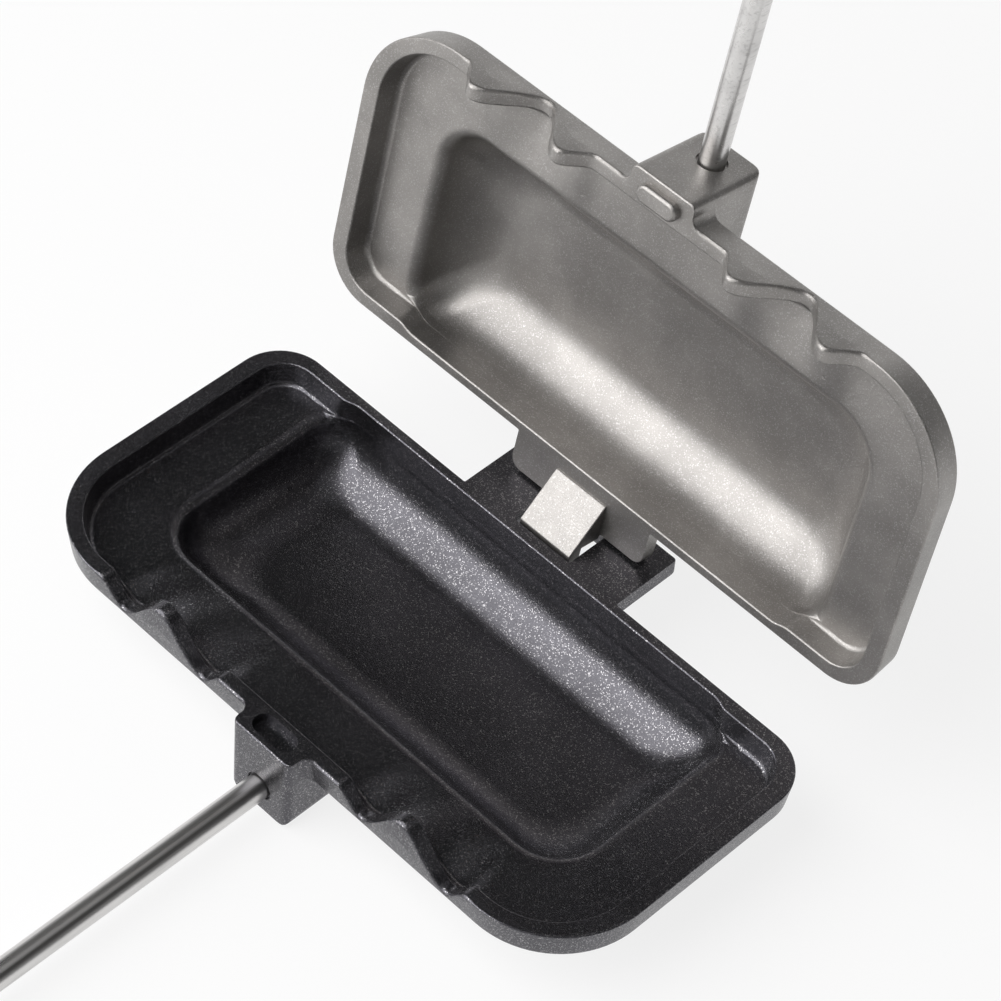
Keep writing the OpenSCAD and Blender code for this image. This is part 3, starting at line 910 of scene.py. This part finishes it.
class IRON_OT_lower_casting(bpy.types.Operator):
    """Models the lower casting: tray, trough, crimp, socket block and slotted hinge plate"""

    bl_idname = "iron.lower_casting"
    bl_label = "Lower casting"

    def execute(self, context):
        s = context.scene.iron_castings
        colours = context.scene.iron_colours
        plate = (s.lower_plate_half_w, s.lower_plate_out, s.lower_plate_t, s.lower_plate_r)
        form = cut(lofted(casting_levels(s, 1, *plate)), casting_cuts(s, lower=True))
        coat = cast_coat("black_coat", colours.black_coat, colours.mica, sparkle=0.30, roughness=0.22)
        show("lower_casting", finish_half(form, False), coat, LOWER, ["lower_shell"])
        return {"FINISHED"}


class IRON_OT_upper_casting(bpy.types.Operator):
    """Models the upper casting with its boss and the hook of the hinge"""

    bl_idname = "iron.upper_casting"
    bl_label = "Upper casting"

    def execute(self, context):
        s = context.scene.iron_castings
        colours = context.scene.iron_colours
        plate = (s.upper_plate_half_w, s.upper_plate_out, s.upper_plate_t, s.upper_plate_r)
        form = cut(lofted(casting_levels(s, -1, *plate)), casting_cuts(s, lower=False))
        boss = Matrix.Translation((0, -s.half_w - s.boss_in, (s.boss_h - s.boss_foot) / 2))
        add_bar(form, obround_outline(s.boss_l, s.boss_w), boss, s.boss_h + s.boss_foot, s.boss_edge)
        across = Matrix(((0, 0, 1, 0), (1, 0, 0, 0), (0, 1, 0, 0), (0, 0, 0, 1)))
        hook = [(y * MM, z * MM) for y, z in HOOK_PROFILE]
        add_bar(form, hook, Matrix.Translation((0, s.half_w, 0)) @ across, s.hook_w, s.hook_edge)
        coat = cast_coat("grey_coat", colours.grey_coat, colours.mica, sparkle=0.24, roughness=0.36)
        show("upper_casting", finish_half(form, True), coat, UPPER, ["upper_shell"])
        return {"FINISHED"}


class IRON_OT_rods(bpy.types.Operator):
    """Finishes the two rods, their cross pins and their tangs"""

    bl_idname = "iron.rods"
    bl_label = "Rods"

    def execute(self, context):
        colours = context.scene.iron_colours
        dull = dull_metal("pin_steel", colours.dull_steel, 0.3)
        tang = dull_metal("tang_steel", tuple(c * 1.3 for c in colours.dull_steel), 0.24)
        for half, body, angle in (("lower", LOWER, 0.0), ("upper", UPPER, OPENED)):
            steel = drawn_steel(half + "_rod_steel", colours.rod, (angle, 0, 0))
            softened(half + "_rod", half + "_bar", 0.4 * MM, steel, body)
            softened(half + "_rod_pin", half + "_cross_pin", 0.3 * MM, dull, body)
            softened(half + "_tang", half + "_tang_plate", 0.15 * MM, tang, body, 1)
            softened(half + "_bolster", half + "_ferrule", 0.8 * MM, tang, body, 3)
        return {"FINISHED"}


class IRON_OT_grips(bpy.types.Operator):
    """Finishes the wooden scales with their rivets and eyelets"""

    bl_idname = "iron.grips"
    bl_label = "Grips"

    def execute(self, context):
        colours = context.scene.iron_colours
        brass = dull_metal("brass", colours.brass, 0.26, 300)
        for half, body, angle in (("lower", LOWER, 0.0), ("upper", UPPER, OPENED)):
            wood = oiled_wood(half + "_wood", colours.wood_light, colours.wood_dark, (angle, 0, 0))
            for side in ("inner", "outer"):
                softened(f"{half}_grip_{side}", f"{half}_scale_{side}", 0.5 * MM, wood, body)
            softened(half + "_rivets", half + "_rivet_heads", 0.3 * MM, brass, body)
            softened(half + "_eyelet", half + "_eyelet_ring", 0.4 * MM, brass, body, 3)
        return {"FINISHED"}


class IRON_OT_latch(bpy.types.Operator):
    """Finishes the latch hook, its stop collars and their grub screws"""

    bl_idname = "iron.latch"
    bl_label = "Latch"

    def execute(self, context):
        colours = context.scene.iron_colours
        steel = dull_metal("latch_steel", colours.dull_steel, 0.26)
        black = dull_metal("black_steel", colours.black_steel, 0.4)
        softened("latch_hook", "latch_claw", 0.35 * MM, steel, LATCH)
        for place in ("front", "rear"):
            softened(f"latch_{place}_collar", f"latch_{place}_ring", 0.5 * MM, steel, UPPER)
        softened("latch_grub_screws", "latch_set_screws", 0.15 * MM, black, UPPER, 1)
        return {"FINISHED"}


class IRON_OT_studio(bpy.types.Operator):
    """Sets the floor, the light and the camera"""

    bl_idname = "iron.studio"
    bl_label = "Studio"

    def execute(self, context):
        settings = context.scene.iron_studio
        form = bmesh.new()
        bmesh.ops.create_grid(form, x_segments=1, y_segments=1, size=FLOOR_REACH)
        bmesh.ops.translate(form, verts=form.verts, vec=(0, 0, -FLOOR_DROP))
        mesh = bpy.data.meshes.new("floor")
        form.to_mesh(mesh)
        form.free()
        floor = bpy.data.objects.new("floor", mesh)
        context.scene.collection.objects.link(floor)
        mesh.materials.append(studio_paper("paper", settings.floor_glow))
        context.scene.world = pale_horizon("studio", settings.ceiling)

        for name, at, size, power in (
            ("key_light", settings.key_at, (settings.key_w, settings.key_h), settings.key_power),
            ("fill_light", settings.fill_at, (settings.fill_w, settings.fill_w), settings.fill_power),
        ):
            lamp = bpy.data.lights.new(name, "AREA")
            lamp.shape, lamp.size, lamp.size_y, lamp.energy = "ELLIPSE", *size, power
            light = bpy.data.objects.new(name, lamp)
            context.scene.collection.objects.link(light)
            light.location = at
            light.rotation_euler = (Vector(settings.aim) - Vector(at)).to_track_quat("-Z", "Y").to_euler()

        camera = bpy.data.objects.new("camera", bpy.data.cameras.new("camera"))
        context.scene.collection.objects.link(camera)
        camera.location = settings.camera_at
        camera.rotation_euler = settings.camera_turn
        camera.data.lens = settings.lens
        camera.data.clip_start = 0.01
        context.scene.camera = camera
        context.scene.view_settings.view_transform = "Standard"
        return {"FINISHED"}


class IRON_PT_panel(bpy.types.Panel):
    """Lists the pieces of the iron and their settings"""

    bl_idname = "IRON_PT_panel"
    bl_label = "Pie iron"
    bl_space_type = "VIEW_3D"
    bl_region_type = "UI"
    bl_category = "Pie iron"

    def draw(self, context):
        for group in (context.scene.iron_castings, context.scene.iron_colours, context.scene.iron_studio):
            box = self.layout.box()
            for key in group.bl_rna.properties.keys():
                if key not in ("rna_type", "name"):
                    box.prop(group, key)
        for operator in OPERATORS:
            self.layout.operator(operator.bl_idname)


GROUPS = {"iron_castings": CastingSizes, "iron_colours": FinishColours, "iron_studio": StudioSettings}
OPERATORS = (
    IRON_OT_lower_casting, IRON_OT_upper_casting, IRON_OT_rods, IRON_OT_grips, IRON_OT_latch, IRON_OT_studio,
)


def register():
    for group in GROUPS.values():
        bpy.utils.register_class(group)
    for name, group in GROUPS.items():
        setattr(bpy.types.Scene, name, bpy.props.PointerProperty(type=group))
    for operator in OPERATORS:
        bpy.utils.register_class(operator)
    bpy.utils.register_class(IRON_PT_panel)


def unregister():
    bpy.utils.unregister_class(IRON_PT_panel)
    for operator in reversed(OPERATORS):
        bpy.utils.unregister_class(operator)
    for name, group in reversed(GROUPS.items()):
        delattr(bpy.types.Scene, name)
        bpy.utils.unregister_class(group)


def main():
    register()
    for operator in OPERATORS:
        family, name = operator.bl_idname.split(".")
        getattr(getattr(bpy.ops, family), name)()


if __name__ == "__main__":
    main()
